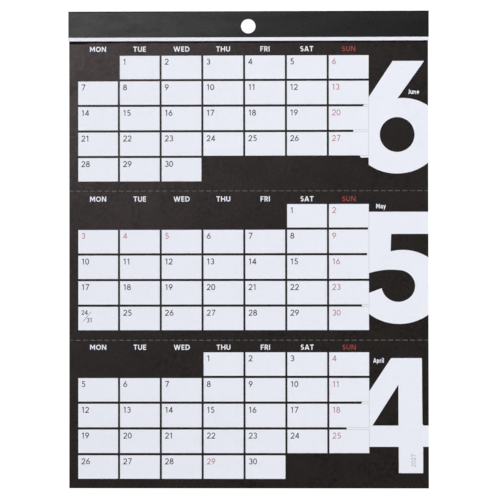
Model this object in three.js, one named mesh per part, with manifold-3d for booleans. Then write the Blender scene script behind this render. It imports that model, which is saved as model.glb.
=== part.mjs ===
// A wall calendar that shows three months at once. Four printed sheets hang from a folded
// card header with a round hanging hole. Each sheet is three month leaves one above another,
// joined by perforations, and the last month is torn off from the bottom.
//
// Millimetres, +Z up, front towards -Y. The origin is the centre of the hanging hole on the
// header's back face, which lies on the wall.

import * as THREE from 'three';
import { mergeVertices } from 'three/addons/utils/BufferGeometryUtils.js';
import Module from 'manifold-3d';

const wasm = await Module();
wasm.setup();

// Header: one strip of card folded over the top of the sheets
const cardOverhang = 0.5; // how far the card stands past the sheets at each side
const headerHeight = 20.6;
const cardThickness = 0.5;
const holeDiameter = 10;
const holeDrop = 10.5; // header's top edge to the hole's centre
const holeSides = 48;
const foldSteps = 8; // facets round the fold

// Sheets: the widths and the heights of the leaves are those of the trimmed paper
const sheetWidth = 247;
const paperThickness = 0.2;
const paperGap = 0.1; // air between two sheets, and between a sheet and the card
const topLeafHeight = 102.4;
const middleLeafHeight = 102.7;
const bottomLeafHeight = 101.8;
const bottomLean = 3; // how far the free lower edge of a sheet stands forward

// Perforations: short cuts with paper ties left between them
const perforationDrop = 0.7; // header's lower edge to the first perforation
const cutHeight = 0.3;
const tiePitch = 5;
const tieWidth = 1.7;
const tieClearance = 0.05; // ties end this far short of the edge above, so leaves can turn

// Glue along the tops of the sheets, inside the header's fold
const glueHeight = 1.6;
const glueClearance = 0.05;

// The front sheet comes first, and each sheet is listed from its top leaf down
const sheets = [
  ['june', 'may', 'april'],
  ['september', 'august', 'july'],
  ['december', 'november', 'october'],
  ['march', 'february', 'january'],
];

const black = 0x2c2a29;
const glueColour = 0xe9e4d2;

const headerWidth = sheetWidth + 2 * cardOverhang;
const headerTop = holeDrop;
const headerBottom = headerTop - headerHeight;
const slotDepth = sheets.length * (paperThickness + paperGap) + paperGap;
const headerThickness = slotDepth + 2 * cardThickness;
const firstPerforation = headerBottom - perforationDrop;
const leafHeights = [topLeafHeight, middleLeafHeight, bottomLeafHeight];
const sheetDrop = topLeafHeight + middleLeafHeight + bottomLeafHeight;

// How far forward a hanging sheet stands at a distance below the first perforation: it hangs
// straight at the top and leaves the wall more and more towards its free edge.
function leanAt(drop) {
  return bottomLean * (drop / sheetDrop) ** 2;
}

// The back face of a sheet inside the header; the last sheet in the list is next to the wall.
function backOfSheet(index) {
  const sheetsBehind = sheets.length - 1 - index;
  return -(cardThickness + paperGap + sheetsBehind * (paperThickness + paperGap));
}

function finish(color, roughness) {
  return new THREE.MeshStandardMaterial({ color, roughness, metalness: 0 });
}

function piece(name, geometry, material) {
  const mesh = new THREE.Mesh(geometry, material);
  mesh.name = name;
  return mesh;
}

// A flat plate with an outline in X and Z. Its back is at y = 0 and its front at -thickness.
function plate(outline, thickness) {
  const geometry = new THREE.ExtrudeGeometry(outline, {
    depth: thickness,
    bevelEnabled: false,
    curveSegments: holeSides / 2,
  });
  return geometry.rotateX(Math.PI / 2);
}

function toManifold(geometry) {
  const bare = geometry.clone();
  bare.deleteAttribute('normal');
  bare.deleteAttribute('uv');
  const merged = mergeVertices(bare);
  return new wasm.Manifold(new wasm.Mesh({
    numProp: 3,
    vertProperties: new Float32Array(merged.attributes.position.array),
    triVerts: new Uint32Array(merged.index.array),
  }));
}

function toGeometry(solid) {
  const mesh = solid.getMesh();
  const geometry = new THREE.BufferGeometry();
  geometry.setAttribute('position', new THREE.BufferAttribute(mesh.vertProperties, 3));
  geometry.setIndex(new THREE.BufferAttribute(mesh.triVerts, 1));
  geometry.computeVertexNormals();
  return geometry;
}

// Section of the folded header in Y and Z: up the back flap, round the fold and down the
// front flap outside, then back along the slot inside.
function headerSection() {
  const outer = headerThickness / 2;
  const inner = slotDepth / 2;
  const foldHeight = headerTop - outer;
  const shape = new THREE.Shape();
  shape.moveTo(0, headerBottom);
  shape.lineTo(0, foldHeight);
  shape.absarc(-outer, foldHeight, outer, 0, Math.PI, false);
  shape.lineTo(-headerThickness, headerBottom);
  shape.lineTo(-headerThickness + cardThickness, headerBottom);
  shape.lineTo(-headerThickness + cardThickness, foldHeight);
  shape.absarc(-outer, foldHeight, inner, Math.PI, 0, true);
  shape.lineTo(-cardThickness, headerBottom);
  shape.closePath();
  return shape;
}

function headerCard() {
  const strip = new THREE.ExtrudeGeometry(headerSection(), {
    depth: headerWidth,
    bevelEnabled: false,
    curveSegments: foldSteps,
  });
  // The section's Y and Z become the model's, and the strip runs along X
  strip.applyMatrix4(new THREE.Matrix4().makeBasis(
    new THREE.Vector3(0, 1, 0),
    new THREE.Vector3(0, 0, 1),
    new THREE.Vector3(1, 0, 0),
  ));
  strip.translate(-headerWidth / 2, 0, 0);
  const punch = new THREE.CylinderGeometry(
    holeDiameter / 2,
    holeDiameter / 2,
    3 * headerThickness,
    holeSides,
  );
  const card = toManifold(strip).subtract(toManifold(punch));
  return piece('header_card', toGeometry(card), finish(black, 0.55));
}

// The glue fills the slot above the sheets, up to where the fold starts to round.
function bindingGlue() {
  const depth = slotDepth - 2 * glueClearance;
  const top = headerTop - headerThickness / 2;
  const geometry = new THREE.BoxGeometry(sheetWidth, depth, glueHeight);
  geometry.translate(0, -headerThickness / 2, top - glueHeight / 2);
  return piece('binding_glue', geometry, finish(glueColour, 0.45));
}

// The strip of a sheet that stays in the header once its leaves are torn off.
function stub(index) {
  const half = sheetWidth / 2;
  const top = headerTop - headerThickness / 2 - glueHeight - glueClearance;
  const bottom = firstPerforation + cutHeight / 2;
  const outline = new THREE.Shape();
  outline.moveTo(-half, bottom);
  outline.lineTo(half, bottom);
  outline.lineTo(half, top);
  outline.lineTo(-half, top);
  outline.closePath();
  const hole = new THREE.Path();
  hole.absarc(0, 0, holeDiameter / 2, 0, 2 * Math.PI, true);
  outline.holes.push(hole);
  const geometry = plate(outline, paperThickness);
  geometry.translate(0, backOfSheet(index), 0);
  return piece(`stub_sheet_${index + 1}`, geometry, finish(black, 0.6));
}

// A leaf's upper edge runs just under its perforation, with a tie standing up at each pitch.
function leafOutline(top, bottom, lowest) {
  const half = sheetWidth / 2;
  const upper = top - cutHeight / 2;
  const lower = lowest ? bottom : bottom + cutHeight / 2;
  const tieTop = top + cutHeight / 2 - tieClearance;
  const ties = Math.floor((sheetWidth - tieWidth) / tiePitch);
  const points = [new THREE.Vector2(half, upper)];
  for (let n = 0; n < ties; n += 1) {
    const centre = ((ties - 1) / 2 - n) * tiePitch;
    const right = centre + tieWidth / 2;
    const left = centre - tieWidth / 2;
    points.push(
      new THREE.Vector2(right, upper),
      new THREE.Vector2(right, tieTop),
      new THREE.Vector2(left, tieTop),
      new THREE.Vector2(left, upper),
    );
  }
  points.push(
    new THREE.Vector2(-half, upper),
    new THREE.Vector2(-half, lower),
    new THREE.Vector2(half, lower),
  );
  return new THREE.Shape(points);
}

// One month: a flat leaf that leans forward by as much as the sheet does at its two ends.
function leaf(month, index, row) {
  const drop = leafHeights.slice(0, row).reduce((sum, height) => sum + height, 0);
  const height = leafHeights[row];
  const top = firstPerforation - drop;
  const lowest = row === leafHeights.length - 1;
  const geometry = plate(leafOutline(top, top - height, lowest), paperThickness);
  geometry.translate(0, backOfSheet(index), 0);
  const leanTop = leanAt(drop);
  const leanBottom = leanAt(drop + height);
  const position = geometry.attributes.position;
  for (let i = 0; i < position.count; i += 1) {
    const share = (top - position.getZ(i)) / height;
    const lean = THREE.MathUtils.lerp(leanTop, leanBottom, share);
    position.setY(i, position.getY(i) - lean);
  }
  return piece(`leaf_${month}`, geometry, finish(black, 0.6));
}

const calendar = new THREE.Group();
calendar.add(headerCard(), bindingGlue());
sheets.forEach((months, index) => {
  calendar.add(stub(index));
  months.forEach((month, row) => calendar.add(leaf(month, index, row)));
});

export default calendar;
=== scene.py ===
import math

import bpy
import numpy as np
from mathutils import Matrix, Vector
from mathutils.geometry import delaunay_2d_cdt


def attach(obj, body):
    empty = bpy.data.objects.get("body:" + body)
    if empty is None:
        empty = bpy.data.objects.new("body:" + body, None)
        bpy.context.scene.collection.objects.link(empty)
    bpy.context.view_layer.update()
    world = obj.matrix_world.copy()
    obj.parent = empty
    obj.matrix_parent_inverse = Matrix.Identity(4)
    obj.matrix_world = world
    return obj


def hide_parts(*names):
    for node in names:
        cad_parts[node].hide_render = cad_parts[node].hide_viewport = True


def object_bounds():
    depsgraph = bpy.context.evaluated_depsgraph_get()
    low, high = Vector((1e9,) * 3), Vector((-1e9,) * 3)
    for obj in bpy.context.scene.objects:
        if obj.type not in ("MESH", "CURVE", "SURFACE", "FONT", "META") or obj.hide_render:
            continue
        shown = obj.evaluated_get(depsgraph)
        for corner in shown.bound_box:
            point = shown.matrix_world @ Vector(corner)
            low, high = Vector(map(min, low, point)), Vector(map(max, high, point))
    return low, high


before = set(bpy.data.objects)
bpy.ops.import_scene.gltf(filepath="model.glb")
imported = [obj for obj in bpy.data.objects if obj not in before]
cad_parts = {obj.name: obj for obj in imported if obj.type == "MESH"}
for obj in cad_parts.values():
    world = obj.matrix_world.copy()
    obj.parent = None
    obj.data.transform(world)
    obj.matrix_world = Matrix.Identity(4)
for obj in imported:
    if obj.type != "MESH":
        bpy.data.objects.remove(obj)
cad_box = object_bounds()

# Sheets: the widths and the heights of the leaves are those of the trimmed paper
MM = 0.001  # in metres
SHEET_WIDTH = 247.0
PAPER = 0.2
PAPER_GAP = 0.1  # air between two sheets, and between a sheet and the card
SHEETS = 4
LEAF_HEIGHTS = (102.4, 102.7, 101.8)  # from a sheet's top leaf down
SHEET_DROP = sum(LEAF_HEIGHTS)
BOTTOM_LEAN = 3.0  # how far the free lower edge of a sheet stands forward

# Header: one strip of card folded over the tops of the sheets, glued and punched
CARD = 0.5
CARD_OVERHANG = 0.5  # how far the card stands past the sheets at each side
CARD_WIDTH = SHEET_WIDTH + 2 * CARD_OVERHANG
HEADER_HEIGHT = 20.6
CARD_TOP = 10.5
CARD_BOTTOM = CARD_TOP - HEADER_HEIGHT
FOLD_RADIUS = (SHEETS * (PAPER + PAPER_GAP) + PAPER_GAP) / 2 + CARD
FLAP = CARD_TOP - FOLD_RADIUS - CARD_BOTTOM  # height of the flat part of a flap
ROUND = math.pi * FOLD_RADIUS  # length of card in the fold
FOLD_LINES = 17
HOLE_RADIUS = 5.0
HOLE_STEPS = 96
BORDER = 2.4  # height of the white stripe along the front flap
GLUE_HEIGHT = 1.6
GLUE_CLEARANCE = 0.05
STUB_TOP = CARD_TOP - FOLD_RADIUS - GLUE_HEIGHT - GLUE_CLEARANCE
SHARP_ANGLE = 30.0  # degrees; the card's faces meet smoothly below it

# Perforations: short cuts with paper ties left between them, and torn fibres beside them
PERFORATION_DROP = 0.7  # header's lower edge to the first perforation
FIRST_PERFORATION = CARD_BOTTOM - PERFORATION_DROP
TIE_PITCH = 5.0
TIE_WIDTH = 1.7
TIE_CLEARANCE = 0.005
SLIT = 0.02  # height of a cut
TIE_REACH = SLIT / 2 - TIE_CLEARANCE
FIBRE_EDGE = 0.10  # fibres above a cut
FIBRE_DROP = 0.42  # fibres below a cut

# The painted shadow under the header's lower edge: a dark band over the crease where a sheet leaves
# the card
CREASE_SHADOW = 0.60
CREASE_SHADOW_END = 1.2  # its depth at the left end
CREASE_SHADOW_POINTS = 120
CREASE_SHADOW_WAVES = ((0.22, 0.31, 0.0), (0.16, 0.83, 1.0))  # part of the depth, radians a mm, start
SHADOW_WEDGE_START = -104.0
SHADOW_WEDGE_LENGTH = 10.0

# The grid of days on a leaf, from the leaf's middle and down from its perforation
WEEKDAYS = ("MON", "TUE", "WED", "THU", "FRI", "SAT", "SUN")
WEEK = len(WEEKDAYS)
SUNDAY = WEEK - 1
ROWS = 5  # a month that needs a sixth one shares cells instead
COLUMN_LEFT = -117.3
COLUMN_PITCH = 28.775
CELL_WIDTH = 27.33
CELL_HEIGHT = 16.07
ROW_TOPS = (-9.36, -9.32, -8.5)  # for each leaf of a sheet, from the top one down
ROW_PITCHES = (17.61, 17.63, 17.68)  # likewise
BLANK_MARGIN = 5.0  # how far the black of a missing Sunday reaches past its left edge
OUTLINE = 0.2

# Lettering: pens and gaps are parts of a capital's height, apart from the slash's pen
LETTER_GAP = 0.12
WEEKDAY_BASES = (-6.57, -7.42, -6.74)  # for each leaf of a sheet
WEEKDAY_HEIGHT = 3.55
WEEKDAY_STRETCH = 1.15
WEEKDAY_PEN = 0.19
WEEKDAY_GAP = 0.16
SUNDAY_PEN = 0.12
DAY_HEIGHT = 4.0
DAY_INSET = 2.2
DAY_DROP = 2.1
DAY_PEN = 0.15

# Two days in one cell: where their numbers and the slash are from the cell's upper left
SHARED_HEIGHT = 3.2
SHARED_STRETCH = 0.9
SHARED_FIRST = (2.2, -5.5)
SHARED_LATER = (5.75, -10.75)
SLASH = ((3.1, -10.4), (8.9, -3.2))
SLASH_PEN = 0.27  # millimetres

# Each month: its number, the weekday of its first day, counted from Monday as 0, how many
# days it has, and the days that are printed red besides Sundays
MONTHS = {
    "june": (6, 1, 30, ()),
    "may": (5, 5, 31, (3, 4, 5)),
    "april": (4, 3, 30, (29,)),
    "september": (9, 2, 30, ()),
    "august": (8, 6, 31, ()),
    "july": (7, 3, 31, ()),
    "december": (12, 2, 31, ()),
    "november": (11, 0, 30, ()),
    "october": (10, 4, 31, ()),
    "march": (3, 2, 31, ()),
    "february": (2, 1, 29, ()),
    "january": (1, 5, 31, ()),
}
# The front sheet comes first, and each sheet is listed from its top leaf down
SHEET_MONTHS = (
    ("june", "may", "april"),
    ("september", "august", "july"),
    ("december", "november", "october"),
    ("march", "february", "january"),
)
# The body of each sheet. On the front one every leaf is a body with the month's name.
SHEET_BODIES = ("june", "sheet_2", "sheet_3", "sheet_4")


# Flat shapes, as arrays of points
def rectangle(left, low, right, high):
    """The four corners of an upright rectangle."""
    return np.array([[left, low], [right, low], [right, high], [left, high]], float)


def arc(centre, radii, start, end, steps):
    """Centre plus the radii times the cosine and sine of an evenly stepped angle, in degrees."""
    angle = np.radians(np.linspace(start, end, steps + 1))
    return np.asarray(centre) + np.stack([np.cos(angle), np.sin(angle)], 1) * radii


def bend(start, control, end, steps):
    """Points on the parabola that leaves start towards control and meets end from it."""
    t = np.linspace(0, 1, steps + 1)[:, None]
    return (1 - t) ** 2 * start + 2 * t * (1 - t) * control + t ** 2 * end


def stroke(points, width):
    """A pen line as a row of quads: each point is moved both ways along the sum of its two
    segments' normals, which is scaled so that the line keeps its width round the turn."""
    points = np.asarray(points, float)
    along = np.diff(points, axis=0)
    along /= np.linalg.norm(along, axis=1, keepdims=True)
    normal = np.stack([-along[:, 1], along[:, 0]], 1)
    closed = np.allclose(points[0], points[-1])
    before = np.vstack([normal[-1:] if closed else normal[:1], normal])
    after = np.vstack([normal, normal[:1] if closed else normal[-1:]])
    mitre = before + after
    mitre *= width / np.sum(mitre * mitre, axis=1, keepdims=True)
    left, right = points + mitre, points - mitre
    return list(np.stack([left[:-1], right[:-1], right[1:], left[1:]], axis=1))


def moved(shapes, offset, scale=1.0, quarter_turn=False):
    """The shapes scaled, turned a quarter to the left if asked, and then shifted."""
    out = []
    for shape in shapes:
        points = np.asarray(shape) * scale
        if quarter_turn:
            points = np.stack([-points[:, 1], points[:, 0]], 1)
        out.append(points + np.asarray(offset))
    return out


# Lettering
# The middle lines of plain characters, each with its width, where a capital is one unit high.
# LOW and HIGH are for the figures' thin pen, FOOT and HEAD for the capitals' broader one.
LOW = 0.055
HIGH = 0.945
FOOT = 0.085
HEAD = 0.915
STEM = [(0.085, 0), (0.085, 1)]
BOWL = arc((0.3, 0.36), (0.2, 0.26), 90, 450, 18)
ARCH = np.vstack([arc((0.3, 0.41), (0.2, 0.21), 170, 0, 12), [(0.5, 0)]])
CHARACTERS = {
    "0": (0.66, [arc((0.33, 0.5), (0.27, 0.445), 90, 450, 20)]),
    "1": (0.52, [[(0.32, 0), (0.32, 1)], [(0.08, 0.79), (0.33, 0.955)]]),
    "2": (0.66, [np.vstack([arc((0.33, 0.69), (0.25, 0.255), 170, -38, 12),
                            [(0.08, LOW), (0.64, LOW)]])]),
    "3": (0.62, [arc((0.31, 0.725), (0.22, 0.22), 155, -90, 12),
                 arc((0.31, 0.28), (0.26, 0.225), 90, -155, 12)]),
    "4": (0.7, [[(0.49, 0), (0.49, 1)], [(0.48, 0.96), (0.07, 0.27), (0.69, 0.27)]]),
    "5": (0.64, [[(0.58, HIGH), (0.21, HIGH), (0.175, 0.53)],
                 arc((0.32, 0.32), (0.265, 0.265), 125, -145, 14)]),
    "6": (0.66, [arc((0.34, 0.31), (0.265, 0.255), 90, 450, 18), [(0.48, 0.99), (0.11, 0.43)]]),
    "7": (0.62, [[(0.04, HIGH), (0.6, HIGH), (0.22, 0)]]),
    "8": (0.66, [arc((0.33, 0.735), (0.205, 0.21), 90, 450, 16),
                 arc((0.33, 0.285), (0.27, 0.23), 90, 450, 18)]),
    "9": (0.66, [arc((0.33, 0.69), (0.265, 0.255), 90, 450, 18), [(0.19, 0.01), (0.56, 0.57)]]),
    "A": (0.76, [[(0.07, 0), (0.37, 1)], [(0.39, 1), (0.69, 0)], [(0.17, 0.27), (0.59, 0.27)]]),
    "D": (0.7, [STEM, np.vstack([
        [(0.085, HEAD)], arc((0.3, 0.5), (0.34, 0.415), 90, -90, 16), [(0.085, FOOT)]])]),
    "E": (0.54, [STEM, [(0.085, FOOT), (0.52, FOOT)], [(0.085, 0.5), (0.48, 0.5)],
                 [(0.085, HEAD), (0.52, HEAD)]]),
    "F": (0.52, [STEM, [(0.085, 0.47), (0.46, 0.47)], [(0.085, HEAD), (0.52, HEAD)]]),
    "H": (0.74, [STEM, [(0.655, 0), (0.655, 1)], [(0.085, 0.5), (0.655, 0.5)]]),
    "I": (0.17, [STEM]),
    "J": (0.45, [np.vstack([[(0.35, 1)], arc((0.18, 0.27), (0.17, 0.18), 0, -110, 10)])]),
    "M": (0.86, [STEM, [(0.775, 0), (0.775, 1)], [(0.11, 0.97), (0.43, 0.3), (0.75, 0.97)]]),
    "N": (0.74, [STEM, [(0.655, 0), (0.655, 1)], [(0.11, 0.95), (0.63, 0.05)]]),
    "O": (0.86, [arc((0.43, 0.5), (0.345, 0.415), 90, 450, 24)]),
    "R": (0.6, [STEM, np.vstack([
        [(0.085, HEAD)], arc((0.3, 0.68), (0.2, 0.235), 90, -90, 12), [(0.085, 0.445)]]),
        [(0.3, 0.45), (0.53, 0)]]),
    "S": (0.54, [np.vstack([arc((0.28, 0.7075), (0.19, 0.2075), 30, 270, 12),
                            arc((0.27, 0.2925), (0.2, 0.2075), 90, -150, 12)[1:]])]),
    "T": (0.62, [[(0, HEAD), (0.62, HEAD)], [(0.31, 0), (0.31, HEAD)]]),
    "U": (0.7, [np.vstack([[(0.085, 1)], arc((0.35, 0.35), (0.265, 0.265), 180, 360, 14),
                           [(0.615, 1)]])]),
    "W": (1.16, [[(0.08, 1), (0.33, 0)], [(0.33, 0), (0.58, 1)], [(0.58, 1), (0.83, 0)],
                 [(0.83, 0), (1.08, 1)]]),
    "a": (0.6, [BOWL, [(0.5, 0), (0.5, 0.72)]]),
    "b": (0.6, [BOWL, [(0.1, 0), (0.1, 1)]]),
    "c": (0.5, [arc((0.3, 0.36), (0.2, 0.26), 50, 310, 14)]),
    "e": (0.58, [arc((0.3, 0.36), (0.2, 0.26), 8, 315, 16), [(0.12, 0.36), (0.56, 0.36)]]),
    "g": (0.6, [BOWL, np.vstack([
        [(0.5, 0.72)], arc((0.3, -0.08), (0.2, 0.17), 0, -130, 10)])]),
    "h": (0.6, [[(0.1, 0), (0.1, 1)], ARCH]),
    "i": (0.2, [[(0.1, 0), (0.1, 0.72)], [(0.1, 0.86), (0.1, 1.04)]]),
    "l": (0.2, [[(0.1, 0), (0.1, 1)]]),
    "m": (0.98, [[(0.1, 0), (0.1, 0.72)], ARCH, ARCH + (0.38, 0)]),
    "n": (0.6, [[(0.1, 0), (0.1, 0.72)], ARCH]),
    "o": (0.6, [BOWL]),
    "p": (0.6, [BOWL, [(0.1, -0.28), (0.1, 0.72)]]),
    "r": (0.42, [[(0.1, 0), (0.1, 0.72)], arc((0.31, 0.4), (0.21, 0.22), 180, 70, 8)]),
    "s": (0.5, [np.vstack([arc((0.26, 0.49), (0.14, 0.13), 30, 270, 10),
                           arc((0.25, 0.23), (0.14, 0.13), 90, -150, 10)[1:]])]),
    "t": (0.4, [[(0.2, 0), (0.2, 0.92)], [(0.04, 0.63), (0.38, 0.63)]]),
    "u": (0.6, [np.vstack([[(0.1, 0.72)], arc((0.3, 0.3), (0.2, 0.2), 180, 340, 12)]),
                [(0.5, 0), (0.5, 0.72)]]),
    "v": (0.54, [[(0.06, 0.72), (0.27, 0)], [(0.27, 0), (0.48, 0.72)]]),
    "y": (0.55, [[(0.06, 0.72), (0.28, 0.04)], [(0.49, 0.72), (0.19, -0.28)]]),
}


def written(text, height, pen, stretch=1.0, gap=LETTER_GAP):
    """Characters side by side from the origin, drawn with one pen width, and how wide they
    are together. A stretch widens the letters without widening the pen."""
    shapes, start = [], 0.0
    for character in text:
        width, lines = CHARACTERS[character]
        for line in lines:
            shapes += moved(stroke(np.asarray(line) * (stretch, 1), pen), (start, 0))
        start += width * stretch + gap
    return moved(shapes, (0, 0), height), (start - gap) * height


# The large month numerals
# Each gives its white shapes and the black shapes inside them, in a leaf's millimetres.
PAST_EDGE = 150.0  # right of the sheet's edge, which cuts the numerals off
LARGE_PEN = 20.0


def large_six():
    """Half an ellipse below, an arc as its shoulder, a slanted stem cut off level, and a back
    that bends down into the ellipse. The counter is an ellipse too."""
    bowl = arc((102.2, -64.8), (30.3, 26.0), 180, 360, 40)
    shoulder = arc((106.3, -69.5), (30.6, 30.6), 0, 97, 32)
    back = bend(np.array((81.5, -40.1)), np.array((71.9, -54.3)), np.array((71.9, -64.8)), 12)
    white = np.vstack([bowl, shoulder, [(102.3, -39.4), (120.8, -13.4), (99.2, -13.4)], back[:-1]])
    return [white], [arc((102.25, -64.0), (11.95, 12.0), 0, 360, 48)[:-1]]


def large_five():
    """A straight bar and neck, then an outer and an under arc round the bowl. The black bay
    left of the bowl ends in a ball, an arc that bends back up to the neck."""
    outer = arc((105.8, -73.9), (33.0, 33.0), 104.4, 20, 32)
    under = arc((103.5, -57.2), (34.55, 34.55), -20, -127, 36)
    white = np.vstack([
        [(82.6, -14.7), (PAST_EDGE, -14.7), (PAST_EDGE, -29.9), (98.0, -29.9)], outer,
        [(140, -66)], under, [(79.2, -83.2), (77.8, -78.9), (76.1, -72.1), (80.8, -57.35)],
    ])
    ball = arc((102.9, -65.65), (11.5, 10.95), 188, 450, 40)
    top = bend(ball[-1], np.array((93.0, -53.5)), np.array((80.8, -57.35)), 8)
    black = np.vstack([ball, top[1:], [(76.1, -72.0), (83.3, -70.25)]])
    return [white], [black]


def large_four():
    """A level bar, an upright, and a slope from the bar's left end to the upright's head. The
    counter is a triangle."""
    arms = [rectangle(67.2, -73.3, PAST_EDGE, -58.75), rectangle(102.9, -91.3, 119.6, -58)]
    slope = [(67.2, -58.75), (97.8, -12.5), (118.9, -12.5), (119.0, -40), (119.2, -58.75)]
    counter = [(102.75, -30.6), (102.75, -58.75), (84.9, -58.75)]
    return arms + [np.array(slope)], [np.array(counter)]


def large_eight():
    """Two ellipses, the lower one wider, and a counter in each with the same centre."""
    rings = [((107.0, -34.5), (29.0, 22.0)), ((107.0, -67.5), (34.0, 24.5))]
    white = [arc(centre, radii, 0, 360, 64)[:-1] for centre, radii in rings]
    black = [arc(centre, np.array(radii) * (0.34, 0.27), 0, 360, 40)[:-1]
             for centre, radii in rings]
    return white, black


def large_nine():
    """A six turned by half a turn about the middle of its leaf's numeral."""
    white, black = large_six()
    middle = np.array((105.0, -52.1))
    return [2 * middle - shape for shape in white], [2 * middle - shape for shape in black]


def large_lines(*lines):
    """White shapes that a broad pen makes along the given lines."""
    return [quad for line in lines for quad in stroke(line, LARGE_PEN)], []


LARGE_NUMERALS = {
    1: lambda: large_lines([(104, -91), (104, -13)], [(86, -27), (106, -18)]),
    2: lambda: large_lines(np.vstack([
        arc((106, -43), (25, 20), 175, -40, 28), [(88, -81), (140, -81)]])),
    3: lambda: large_lines(arc((103, -38), (21, 16), 160, -90, 24),
                           arc((103, -68), (25, 15), 90, -160, 24)),
    4: large_four,
    5: large_five,
    6: large_six,
    7: lambda: large_lines([(80, -23), (130, -23)], [(126, -23), (94, -91)]),
    8: large_eight,
    9: large_nine,
    10: lambda: large_lines([(89, -91), (89, -13)], arc((125, -52), (18, 30), 0, 360, 40)),
    11: lambda: large_lines([(89, -91), (89, -13)], [(113, -91), (113, -13)]),
    12: lambda: large_lines([(89, -91), (89, -13)], np.vstack([
        arc((120, -42), (14, 19), 175, -40, 24), [(108, -81), (140, -81)]])),
}

# Where a month's name stands, as its middle and its base line, and how wide it is. The
# visible months have their own values, and the hidden ones share one place and one squeeze.
NAME_PLACES = {6: (113.5, -36.1), 5: (91.0, -12.4), 4: (89.2, -15.7)}
NAME_PLACE = (96.0, -8.6)
NAME_WIDTHS = {6: 7.8, 5: 6.4, 4: 7.2}
NAME_SQUEEZE = 0.92
NAME_HEIGHT = 3.2
NAME_PEN = 0.19

# The year stands upright along the foot of the front sheet's lowest numeral
YEAR = "2027"
YEAR_LEAF = "april"
YEAR_HEIGHT = 2.95
YEAR_PEN = 0.11
YEAR_PLACE = (114.4, -87.15)


# What is printed on a leaf
def shared_days(day):
    """A day's number, the number a week later and a slash between them, from their cell's
    upper left corner."""
    first = written(str(day), SHARED_HEIGHT, DAY_PEN, SHARED_STRETCH)[0]
    later = written(str(day + WEEK), SHARED_HEIGHT, DAY_PEN, SHARED_STRETCH)[0]
    return moved(first, SHARED_FIRST) + moved(later, SHARED_LATER) + stroke(SLASH, SLASH_PEN)


def missing_sundays(month, row_top, row_pitch):
    """Black patches in the Sunday column, in the rows where the month has no Sunday."""
    _, first, days, _ = MONTHS[month]
    left = COLUMN_LEFT + SUNDAY * COLUMN_PITCH
    patches = []
    for row in range(ROWS):
        sunday = row * WEEK + SUNDAY - first + 1
        if not 1 <= sunday <= days:
            top = row_top - row * row_pitch
            low = top - row_pitch
            patches.append(rectangle(left - BLANK_MARGIN, low, left + CELL_WIDTH, top))
    return patches


def printed_days(month, row_top, row_pitch):
    """The white cells, the thin outlines round Sunday's, and the grey and the red numbers of a
    month's days. A day that would need a sixth row shares the cell above."""
    _, first, days, red_days = MONTHS[month]
    cells, outlines, grey, red = [], [], [], []
    for day in range(1, days + 1):
        row, column = divmod(first + day - 1, WEEK)
        if row == ROWS:
            break
        left, top = COLUMN_LEFT + column * COLUMN_PITCH, row_top - row * row_pitch
        right, low = left + CELL_WIDTH, top - CELL_HEIGHT
        cells.append(rectangle(left, low, right, top))
        if column == SUNDAY:
            far, under = right + OUTLINE, low - OUTLINE
            outlines += [rectangle(left, top, far, top + OUTLINE),
                         rectangle(left, under, far, low),
                         rectangle(right, low, far, top)]
        numbers = red if column == SUNDAY or day in red_days else grey
        if row == ROWS - 1 and day + WEEK <= days:
            numbers += moved(shared_days(day), (left, top))
        else:
            corner = (left + DAY_INSET, top - DAY_DROP - DAY_HEIGHT)
            numbers += moved(written(str(day), DAY_HEIGHT, DAY_PEN)[0], corner)
    return cells, outlines, grey, red


def weekday_names(base):
    """The shapes of each weekday's short name, centred over its column."""
    names = []
    for column, word in enumerate(WEEKDAYS):
        middle = COLUMN_LEFT + column * COLUMN_PITCH + CELL_WIDTH / 2
        pen = SUNDAY_PEN if column == SUNDAY else WEEKDAY_PEN
        letters, width = written(word, WEEKDAY_HEIGHT, pen, WEEKDAY_STRETCH, WEEKDAY_GAP)
        names.append(moved(letters, (middle - width / 2, base)))
    return names


def month_name(month):
    """A month's name, squeezed to its width and centred at its place."""
    order = MONTHS[month][0]
    name, width = written(month.capitalize(), NAME_HEIGHT, NAME_PEN)
    squeeze = NAME_WIDTHS.get(order, width * NAME_SQUEEZE) / width
    name = moved(name, (-width * squeeze / 2, 0), (squeeze, 1))
    return moved(name, NAME_PLACES.get(order, NAME_PLACE))


def tie_centres():
    """The middles of a leaf's paper ties: as many as fit, evenly about the leaf's middle."""
    ties = math.floor((SHEET_WIDTH - TIE_WIDTH) / TIE_PITCH)
    return (np.arange(ties) - (ties - 1) / 2) * TIE_PITCH


def cut_spans():
    """The left and the right end of each cut, which fills the space between two ties."""
    half = SHEET_WIDTH / 2
    centres = tie_centres()
    lefts = np.concatenate([[-half], centres + TIE_WIDTH / 2])
    rights = np.concatenate([centres - TIE_WIDTH / 2, [half]])
    return list(zip(lefts, rights))


def torn_fibres(row):
    """Strips of torn fibres along a leaf's cuts, below the perforation between it and the leaf
    above, and above the one between it and the leaf below."""
    upper = -SLIT / 2
    lower = -LEAF_HEIGHTS[row] + SLIT / 2
    strips = []
    if row > 0:
        strips += [rectangle(left, upper - FIBRE_DROP, right, upper) for left, right in cut_spans()]
    if row < len(LEAF_HEIGHTS) - 1:
        strips += [rectangle(left, lower, right, lower + FIBRE_EDGE) for left, right in cut_spans()]
    return strips


def uneven_crease():
    """The painted shadow under the header's lower edge, a dark line where a sheet leaves the card.
    Its depth is the shadow's own, plus two sines along the width, plus a wedge of deeper painted
    shadow that grows towards the left end."""
    half = SHEET_WIDTH / 2
    x = np.linspace(-half, half, CREASE_SHADOW_POINTS)
    wave = sum(part * np.sin(rate * x + start) for part, rate, start in CREASE_SHADOW_WAVES)
    wedge = np.clip((SHADOW_WEDGE_START - x) / SHADOW_WEDGE_LENGTH, 0, 1) * (CREASE_SHADOW_END - CREASE_SHADOW)
    lower = np.stack([x, -CREASE_SHADOW * (1 + wave) - wedge], 1)
    return np.vstack([lower, [(half, TIE_REACH), (-half, TIE_REACH)]])


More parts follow.
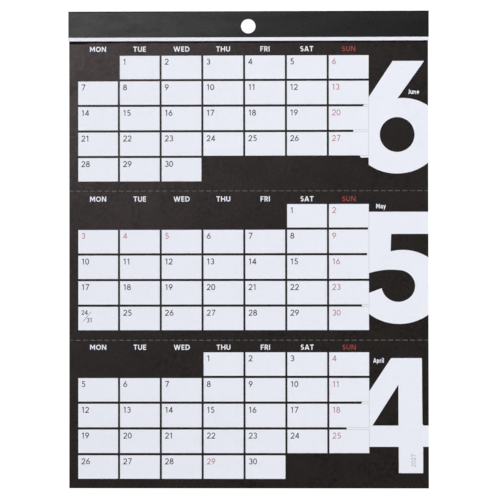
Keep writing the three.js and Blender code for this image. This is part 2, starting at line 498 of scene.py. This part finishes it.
def leaf_print(month, row):
    """All that is printed on one leaf, as pairs of an ink and its shapes, undermost first."""
    white, black = LARGE_NUMERALS[MONTHS[month][0]]()
    blanks = missing_sundays(month, ROW_TOPS[row], ROW_PITCHES[row])
    cells, outlines, grey, red = printed_days(month, ROW_TOPS[row], ROW_PITCHES[row])
    weekdays = weekday_names(WEEKDAY_BASES[row])
    year = written(YEAR, YEAR_HEIGHT, YEAR_PEN)[0] if month == YEAR_LEAF else []
    return [
        ("white", white), ("black", black + blanks), ("outline", outlines), ("white", cells),
        ("fibre", torn_fibres(row)), ("white", sum(weekdays[:SUNDAY], []) + month_name(month)),
        ("orange", weekdays[SUNDAY]), ("grey", grey), ("red", red),
        ("faint", moved(year, YEAR_PLACE, quarter_turn=True)),
        # On the top leaf, the painted shadow under the header's lower edge
        ("crease_shadow", [uneven_crease()] if row == 0 else []),
    ]


def leaf_outline(row):
    """A leaf's edge: straight at the sides and below, and above with a tie at each pitch."""
    half = SHEET_WIDTH / 2
    upper = -SLIT / 2
    lowest = row == len(LEAF_HEIGHTS) - 1
    lower = -LEAF_HEIGHTS[row] + (0 if lowest else SLIT / 2)
    centres = tie_centres()[::-1]
    left, right = centres - TIE_WIDTH / 2, centres + TIE_WIDTH / 2
    x = np.stack([right, right, left, left], 1).ravel()
    z = np.tile([upper, TIE_REACH, TIE_REACH, upper], len(centres))
    foot = [(-half, upper), (-half, lower), (half, lower)]
    return np.vstack([[(half, upper)], np.stack([x, z], 1), foot])


# Printed sheet material
# The columns of the outline and of the holes in a table of shapes, after those of the prints
SHEET_COLUMN = -1
HOLE_COLUMN = -2
INSIDE_ONLY = 1  # keeps the triangles that are in some polygon
WELD = 1e-4  # millimetres; points nearer than this become one


def triangulated(polygons, scores):
    """Triangles that keep to every polygon's edge and to the scores, which are lines of two
    points: the corner points, the triangles and the polygons that each triangle is in. A
    polygon that runs clockwise is turned round; the sign of its doubled area tells which."""
    points = np.vstack(polygons + [np.asarray(line) for line in scores])
    starts = np.concatenate([[0], np.cumsum([len(polygon) for polygon in polygons])])
    faces = []
    for polygon, start in zip(polygons, starts):
        x, z = polygon[:, 0], polygon[:, 1]
        doubled_area = np.sum(x * np.roll(z, -1) - z * np.roll(x, -1))
        ring = list(range(start, start + len(polygon)))
        faces.append(ring if doubled_area > 0 else ring[::-1])
    firsts = range(int(starts[-1]), len(points), 2)
    lines = [(first, first + 1) for first in firsts]
    flat = list(map(Vector, points.tolist()))
    corners, _, triangles, _, _, inside = delaunay_2d_cdt(
        flat, lines, faces, INSIDE_ONLY, WELD, True)
    return np.array([corner[:] for corner in corners]), np.array(triangles), inside


def partition(outline, holes, prints, scores):
    """Cuts an outline into triangles along the edge of every printed shape, and gives the
    corner points, the triangles and the place in prints of each triangle's topmost ink, which
    is -1 on the bare ground. An outline is only printed on white."""
    polygons = [outline] + holes
    columns = [SHEET_COLUMN] + [HOLE_COLUMN] * len(holes)
    for place, (_, shapes) in enumerate(prints):
        polygons += shapes
        columns += [place] * len(shapes)
    corners, triangles, inside = triangulated(polygons, scores)
    owner = np.repeat(np.arange(len(inside)), [len(numbers) for numbers in inside])
    found = np.array(columns)[np.concatenate([np.asarray(numbers, int) for numbers in inside])]
    within = np.zeros((len(inside), len(prints) + 2), bool)
    within[owner, found] = True
    kept = within[:, SHEET_COLUMN] & ~within[:, HOLE_COLUMN]
    white = np.array([ink == "white" for ink, _ in prints])
    topmost = np.full(len(inside), -1)
    for place, (ink, _) in enumerate(prints):
        covered = within[:, place]
        if ink == "outline":
            covered = covered & (topmost >= 0) & white[topmost]
        topmost[covered] = place
    used, triangles = np.unique(triangles[kept], return_inverse=True)
    return corners[used], triangles.reshape(-1, 3), topmost[kept]


# Two finishes that only a sheet's back shows, a painted shade along the cuts and the black showing
# through, and the inks that leave its back plain
BACK_CUT_SHADE = "back cut shade"
SHOW_THROUGH = "back over black"
LIGHT_INKS = ("white", "outline", "faint", "grey", "red")


def back_of(ink, back):
    """What a sheet shows behind an ink: bare paper lets the black through a little, and behind torn
    fibres there is a painted shade of the cuts.
    """
    if back != "back":
        return back
    if ink == "fibre":
        return BACK_CUT_SHADE
    return back if ink in LIGHT_INKS else SHOW_THROUGH


def printed_piece(name, outline, holes, prints, place, ground, edge, back, scores=()):
    """A closed sheet: the printed front, the same triangles turned over at the back, and a
    strip of quads round every edge that only one triangle has. Place lays the flat points
    out in space, at the front for a depth of 0 and at the back for a depth of 1. Ground is
    the ink of the unprinted front, and edge and back are those of the strip and the back."""
    flat, front, topmost = partition(outline, holes, prints, scores)
    count = len(flat)
    points = np.vstack([place(flat, 0.0), place(flat, 1.0)]) * MM
    starts = front.ravel()
    ends = np.roll(front, -1, axis=1).ravel()
    rim = ~np.isin(starts * count + ends, ends * count + starts)
    a, b = starts[rim], ends[rim]
    sides = np.stack([b, a, a + count, b + count], 1)
    mesh = bpy.data.meshes.new(name)
    faces = front.tolist() + (front[:, ::-1] + count).tolist() + sides.tolist()
    mesh.from_pydata(points, [], faces)
    inks = [ground] + [ink for ink, _ in prints]
    behind = [back_of(ink, back) for ink in inks]
    unique = list(dict.fromkeys(inks + behind + [edge]))
    for ink in unique:
        mesh.materials.append(INKS[ink])
    in_front, at_back = (np.array([unique.index(ink) for ink in side]) for side in (inks, behind))
    index = np.concatenate([
        in_front[topmost + 1], at_back[topmost + 1], np.full(len(sides), unique.index(edge))])
    mesh.polygons.foreach_set("material_index", index)
    mesh.update()
    piece = bpy.data.objects.new(name, mesh)
    bpy.context.scene.collection.objects.link(piece)
    return piece


# Materials
TOOTH_DEPTH = 0.0001  # metres
WAVE_HEIGHT = 0.0009  # metres


def add_node(tree, kind, inputs=None, **settings):
    """A node with its settings and its inputs, where an input is a value or another's output."""
    node = tree.nodes.new(kind)
    for key, value in settings.items():
        setattr(node, key, value)
    for key, value in (inputs or {}).items():
        if isinstance(value, bpy.types.NodeSocket):
            tree.links.new(value, node.inputs[key])
        else:
            node.inputs[key].default_value = value
    return node


def paper_tooth_group():
    """Fibres and felt marks of paper: a fine height, a fleck mask, a broad soft mottle, their
    mean as a grain, and slow waves."""
    tree = bpy.data.node_groups.new("paper_tooth", "ShaderNodeTree")
    face = tree.interface
    face.new_socket("Vector", in_out="INPUT", socket_type="NodeSocketVector")
    for label, value in (("Fibres per metre", 1800.0), ("Felt per metre", 380.0),
                         ("Mottle per metre", 30.0), ("Waves per metre", 13.0),
                         ("Felt height", 4.0)):
        face.new_socket(label, in_out="INPUT", socket_type="NodeSocketFloat").default_value = value
    given = tree.nodes.new("NodeGroupInput")

    def noise(scale, detail, roughness):
        """A noise pattern whose scale is one of the group's inputs."""
        return add_node(tree, "ShaderNodeTexNoise", {
            "Vector": given.outputs["Vector"], "Scale": given.outputs[scale],
            "Detail": detail, "Roughness": roughness}).outputs["Fac"]

    fibres = noise("Fibres per metre", 3.0, 0.6)
    felt = noise("Felt per metre", 2.0, 0.5)
    broad = noise("Mottle per metre", 4.0, 0.55)
    waves = noise("Waves per metre", 1.0, 0.4)
    height = add_node(tree, "ShaderNodeMath", {
        0: felt, 1: given.outputs["Felt height"], 2: fibres}, operation="MULTIPLY_ADD")
    fleck = add_node(tree, "ShaderNodeMapRange", {
        "Value": felt, "From Min": 0.35, "From Max": 0.65})
    mottle = add_node(tree, "ShaderNodeMapRange", {
        "Value": broad, "From Min": 0.3, "From Max": 0.7})
    total = add_node(tree, "ShaderNodeMath", {
        0: mottle.outputs[0], 1: fleck.outputs[0]}, operation="ADD")
    grain = add_node(tree, "ShaderNodeMath", {0: total.outputs[0], 1: 0.5}, operation="MULTIPLY")
    result = tree.nodes.new("NodeGroupOutput")
    for label, value in (("Height", height.outputs[0]), ("Fleck", fleck.outputs[0]),
                         ("Mottle", mottle.outputs[0]), ("Grain", grain.outputs[0]),
                         ("Waves", waves)):
        face.new_socket(label, in_out="OUTPUT", socket_type="NodeSocketFloat")
        tree.links.new(value, result.inputs[label])
    return tree


PAPER_TOOTH = paper_tooth_group()


def mixed(tree, mask, first, second):
    """The first colour where the mask is 0, and the second one where it is 1."""
    mix = add_node(tree, "ShaderNodeMix", {
        "Factor": mask, 6: (*first, 1), 7: (*second, 1)}, data_type="RGBA")
    return mix.outputs[2]


def paper_material(name, light, dark, smooth, rough, bump=0.03, specular=0.5, mottle=30.0,
                   squeeze=(1, 1, 1), tint=(1, 1, 1)):
    """A printed or bare paper surface. Its colour moves between two shades with the mottle
    and the flecks, its roughness with the grain, and its bump is the paper's tooth. Squeeze
    gives how many times finer the whole pattern is along each axis."""
    made = bpy.data.materials.new(name)
    made.use_nodes = True
    tree = made.node_tree
    surface = tree.nodes["Principled BSDF"]
    place = add_node(tree, "ShaderNodeTexCoord")
    squeezed = add_node(tree, "ShaderNodeMapping", {
        "Vector": place.outputs["Object"], "Scale": squeeze})
    tooth = add_node(tree, "ShaderNodeGroup", node_tree=PAPER_TOOTH)
    tree.links.new(squeezed.outputs["Vector"], tooth.inputs["Vector"])
    tooth.inputs["Mottle per metre"].default_value = mottle
    shade = add_node(tree, "ShaderNodeMath", {
        0: tooth.outputs["Mottle"], 1: tooth.outputs["Fleck"]}, operation="MULTIPLY")
    colour = mixed(tree, shade.outputs[0], light, dark)
    tree.links.new(colour, surface.inputs["Base Color"])
    gloss = add_node(tree, "ShaderNodeMapRange", {
        "Value": tooth.outputs["Grain"], "To Min": smooth, "To Max": rough})
    tree.links.new(gloss.outputs[0], surface.inputs["Roughness"])
    bowed = add_node(tree, "ShaderNodeBump", {
        "Height": tooth.outputs["Waves"], "Strength": 1.0, "Distance": WAVE_HEIGHT})
    relief = add_node(tree, "ShaderNodeBump", {
        "Height": tooth.outputs["Height"], "Strength": bump, "Distance": TOOTH_DEPTH,
        "Normal": bowed.outputs["Normal"]})
    tree.links.new(relief.outputs["Normal"], surface.inputs["Normal"])
    surface.inputs["Specular IOR Level"].default_value = specular
    surface.inputs["Specular Tint"].default_value = (*tint, 1)
    return made


INKS = {
    "black": paper_material("ink_black", (0.0170, 0.0145, 0.0130), (0.0030, 0.0027, 0.0025),
                            0.245, 0.345, bump=0.18, specular=0.255, tint=(1, 0.83, 0.85),
                            mottle=55.0),
    # Painted shadow under the header's lower edge, over the sheet's crease: near black with brown
    # flecks, rough and dull
    "crease_shadow": paper_material("painted_crease_shadow", (0.0008, 0.0007, 0.0007), (0.034, 0.016, 0.011),
                             0.75, 0.95, bump=0.5, specular=0.08, mottle=160.0),
    "white": paper_material("paper_unprinted", (0.768, 0.785, 0.855), (0.745, 0.763, 0.833),
                            0.52, 0.60),
    "card black": paper_material("header_black", (0.0092, 0.0092, 0.0092),
                                 (0.0008, 0.0008, 0.0009), 0.215, 0.385, bump=0.12,
                                 specular=0.25, squeeze=(1, 1, 4), mottle=60.0),
    "card white": paper_material("header_border", (0.765, 0.775, 0.852), (0.715, 0.735, 0.812),
                                 0.50, 0.58),
    "core": paper_material("card_core", (0.55, 0.53, 0.50), (0.42, 0.40, 0.38), 0.7, 0.85,
                           bump=0.3),
    "edge": paper_material("paper_edge", (0.70, 0.70, 0.72), (0.55, 0.55, 0.56), 0.7, 0.85,
                           bump=0.3),
    "back": paper_material("paper_back", (0.78, 0.79, 0.82), (0.75, 0.76, 0.79), 0.6, 0.7),
    SHOW_THROUGH: paper_material("paper_back_over_ink", (0.70, 0.71, 0.74), (0.665, 0.675, 0.705),
                                 0.6, 0.7, mottle=45.0),
    "fibre": paper_material("cut_fibres", (0.125, 0.115, 0.110), (0.012, 0.011, 0.011), 0.8, 0.9,
                            bump=0.4, mottle=26.0),
    # Painted shade of the perforation cuts, as grey dashes on a sheet's white back
    BACK_CUT_SHADE: paper_material("painted_cut_shade_behind", (0.52, 0.52, 0.54), (0.36, 0.36, 0.38), 0.8,
                             0.9, bump=0.4, mottle=120.0),
    "outline": paper_material("ink_outline", (0.36, 0.37, 0.40), (0.31, 0.32, 0.35), 0.5, 0.6),
    "grey": paper_material("ink_grey", (0.012, 0.012, 0.017), (0.007, 0.007, 0.011), 0.45, 0.55),
    "red": paper_material("ink_red", (0.49, 0.198, 0.21), (0.42, 0.165, 0.18), 0.45, 0.55),
    "orange": paper_material("ink_orange", (0.40, 0.045, 0.033), (0.31, 0.035, 0.026), 0.42, 0.5),
    "faint": paper_material("ink_faint", (0.30, 0.31, 0.34), (0.25, 0.26, 0.29), 0.45, 0.55),
}


# The sheets
def lean_at(drop):
    """How far a hanging sheet stands forward, by the square of the way down."""
    return BOTTOM_LEAN * (drop / SHEET_DROP) ** 2


def back_of_sheet(sheet):
    """Where a sheet's back lies in the header; the last sheet is next to the wall."""
    return -(CARD + PAPER_GAP + (SHEETS - 1 - sheet) * (PAPER + PAPER_GAP))


def leaf_place(sheet, row):
    """Lays a leaf's flat points out in space: straight down from its perforation, and forward
    in proportion from the sheet's lean at its top to the lean at its foot."""
    drop, height = sum(LEAF_HEIGHTS[:row]), LEAF_HEIGHTS[row]
    top, foot = lean_at(drop), lean_at(drop + height)

    def place(flat, depth):
        """Y is the sheet's back, less the lean there and the paper in front of this depth."""
        forward = top + (foot - top) * -flat[:, 1] / height
        y = back_of_sheet(sheet) - forward - (1 - depth) * PAPER
        return np.stack([flat[:, 0], y, FIRST_PERFORATION - drop + flat[:, 1]], 1)
    return place


def stub_place(sheet):
    """Lays a stub's flat points out in space, upright in the header."""
    def place(flat, depth):
        """Y is the sheet's back, less the paper in front of this depth."""
        y = np.full(len(flat), back_of_sheet(sheet) - (1 - depth) * PAPER)
        return np.stack([flat[:, 0], y, flat[:, 1]], 1)
    return place


def hanging_hole(height):
    """The punched circle, at a height on the middle line of a flat stub or strip of card."""
    return arc((0, height), (HOLE_RADIUS, HOLE_RADIUS), 0, 360, HOLE_STEPS)[:-1]


def add_leaf(sheet, row, month):
    """One month's printed leaf, on its own body in the front sheet and on its sheet's behind."""
    leaf = printed_piece(f"printed_leaf_{month}", leaf_outline(row), [], leaf_print(month, row),
                         leaf_place(sheet, row), "black", "edge", "back")
    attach(leaf, month if sheet == 0 else SHEET_BODIES[sheet])
    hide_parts(f"leaf_{month}")


def add_stub(sheet):
    """The strip of a sheet that stays in the header, with a painted shadow over its crease below
    the card's lower edge.
    """
    half = SHEET_WIDTH / 2
    low = FIRST_PERFORATION + SLIT / 2
    crease_shadow_strip = [("crease_shadow", [rectangle(-half, low, half, CARD_BOTTOM)])]
    stub = printed_piece(f"stub_of_sheet_{sheet + 1}", rectangle(-half, low, half, STUB_TOP),
                         [hanging_hole(0)], crease_shadow_strip, stub_place(sheet), "black", "edge", "back")
    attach(stub, "header")
    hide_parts(f"stub_sheet_{sheet + 1}")


for sheet, months in enumerate(SHEET_MONTHS):
    for row, month in enumerate(months):
        add_leaf(sheet, row, month)
    add_stub(sheet)


# The header
def card_place(flat, depth):
    """Folds a flat strip of card. The way along the strip runs up the front flap, round half a
    circle at the top and down the back flap. The inner face is the outer one moved in by the
    card's thickness."""
    way = flat[:, 1]
    turn = np.clip((way - FLAP) / FOLD_RADIUS, 0, math.pi)
    rise = np.minimum(way, FLAP) - np.maximum(way - FLAP - ROUND, 0)
    radius = FOLD_RADIUS - depth * CARD
    y = -FOLD_RADIUS - radius * np.cos(turn)
    z = CARD_BOTTOM + rise + radius * np.sin(turn)
    return np.stack([flat[:, 0], y, z], 1)


def add_header():
    """The folded card: black outside with a white stripe along the foot of the front flap,
    white inside, and a hole through both flaps."""
    half = CARD_WIDTH / 2
    folds = [[(-half, FLAP + ROUND * part), (half, FLAP + ROUND * part)]
             for part in np.linspace(0, 1, FOLD_LINES)]
    header = printed_piece(
        "folded_header", rectangle(-half, 0, half, 2 * FLAP + ROUND),
        [hanging_hole(-CARD_BOTTOM), hanging_hole(FLAP + ROUND + CARD_TOP - FOLD_RADIUS)],
        [("card white", [rectangle(-half, 0, half, BORDER)])],
        card_place, "card black", "core", "card white", folds)
    header.data.shade_smooth()
    header.data.set_sharp_from_angle(angle=math.radians(SHARP_ANGLE))
    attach(header, "header")
    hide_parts("header_card")


add_header()

# Dried binding glue: cloudy, yellowish, slightly uneven and glossy
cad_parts["binding_glue"].material_slots[0].material = paper_material(
    "dried_glue", (0.72, 0.66, 0.50), (0.62, 0.55, 0.38), 0.3, 0.45, bump=0.5, mottle=200.0)


# Stage, lights and camera, all in metres
FLOOR_DROP = 0.9  # from the calendar's lower edge
FLOOR_REACH = 40.0


def floor_material():
    """A pale floor that stays near white where the camera sees it."""
    made = bpy.data.materials.new("pale_floor")
    made.use_nodes = True
    tree = made.node_tree
    surface = tree.nodes["Principled BSDF"]
    surface.inputs["Base Color"].default_value = (0.75, 0.75, 0.75, 1)
    surface.inputs["Roughness"].default_value = 0.9
    surface.inputs["Specular IOR Level"].default_value = 0.1
    surface.inputs["Emission Color"].default_value = (1, 1, 1, 1)
    ray = tree.nodes.new("ShaderNodeLightPath")
    tree.links.new(ray.outputs["Is Camera Ray"], surface.inputs["Emission Strength"])
    return made


def add_floor():
    """A wide level square, well below the hanging calendar."""
    mesh = bpy.data.meshes.new("floor")
    level = cad_box[0][2] - FLOOR_DROP
    square = rectangle(-FLOOR_REACH, -FLOOR_REACH, FLOOR_REACH, FLOOR_REACH)
    mesh.from_pydata([(x, y, level) for x, y in square], [], [(0, 1, 2, 3)])
    mesh.materials.append(floor_material())
    floor = bpy.data.objects.new("floor", mesh)
    bpy.context.scene.collection.objects.link(floor)


add_floor()

MIDDLE = Vector((0, 0, -0.154))  # of the calendar


def soft_light(name, place, size, power):
    """A square soft box at a place, turned towards the calendar's middle."""
    lamp = bpy.data.lights.new(name, "AREA")
    lamp.shape = "SQUARE"
    lamp.size = size
    lamp.energy = power
    holder = bpy.data.objects.new(name, lamp)
    holder.location = place
    holder.rotation_euler = (MIDDLE - Vector(place)).to_track_quat("-Z", "Y").to_euler()
    bpy.context.scene.collection.objects.link(holder)


soft_light("key_light", (-0.79, -2.0, 0.72), size=1.5, power=32)
soft_light("fill_light", (2.0, -1.2, 0.1), size=1.4, power=42)
soft_light("back_light", (0.6, 2.2, 0.9), size=1.6, power=62)

# How bright the room is to the camera, and how bright as a light
ROOM_SEEN = 1.05
ROOM_LIGHT = 0.08


def pale_world():
    """White where the camera looks straight at it, and dimmer as a light on the object."""
    world = bpy.data.worlds.new("pale_room")
    world.use_nodes = True
    tree = world.node_tree
    tree.nodes.clear()
    result = tree.nodes.new("ShaderNodeOutputWorld")
    white = (1, 1, 1, 1)
    seen = add_node(tree, "ShaderNodeBackground", {"Color": white, "Strength": ROOM_SEEN})
    lit = add_node(tree, "ShaderNodeBackground", {"Color": white, "Strength": ROOM_LIGHT})
    ray = tree.nodes.new("ShaderNodeLightPath")
    mix = add_node(tree, "ShaderNodeMixShader", {
        0: ray.outputs["Is Camera Ray"], 1: lit.outputs[0], 2: seen.outputs[0]})
    tree.links.new(mix.outputs[0], result.inputs["Surface"])
    bpy.context.scene.world = world


pale_world()
bpy.context.scene.view_settings.view_transform = "Standard"

DISTANCE = 1.2
YAW = math.radians(0.9)
ROLL = math.radians(-0.08)
AIM = Vector((0.0010, -0.003, -0.15404))
FRAME_WIDTH = 0.3438  # how much the frame takes in at the aim
SENSOR_WIDTH = 36.0  # millimetres


def add_camera():
    """A camera at a distance from its aim, turned round it by the yaw, level but for the roll."""
    data = bpy.data.cameras.new("camera")
    data.sensor_width = SENSOR_WIDTH
    data.lens = SENSOR_WIDTH * DISTANCE / FRAME_WIDTH
    camera = bpy.data.objects.new("camera", data)
    bpy.context.scene.collection.objects.link(camera)
    turn = Matrix.Rotation(YAW, 4, "Z") @ Matrix.Rotation(math.pi / 2, 4, "X")
    turn = turn @ Matrix.Rotation(ROLL, 4, "Z")
    place = AIM + DISTANCE * Vector((math.sin(YAW), -math.cos(YAW), 0))
    camera.matrix_world = Matrix.Translation(place) @ turn
    bpy.context.scene.camera = camera


add_camera()
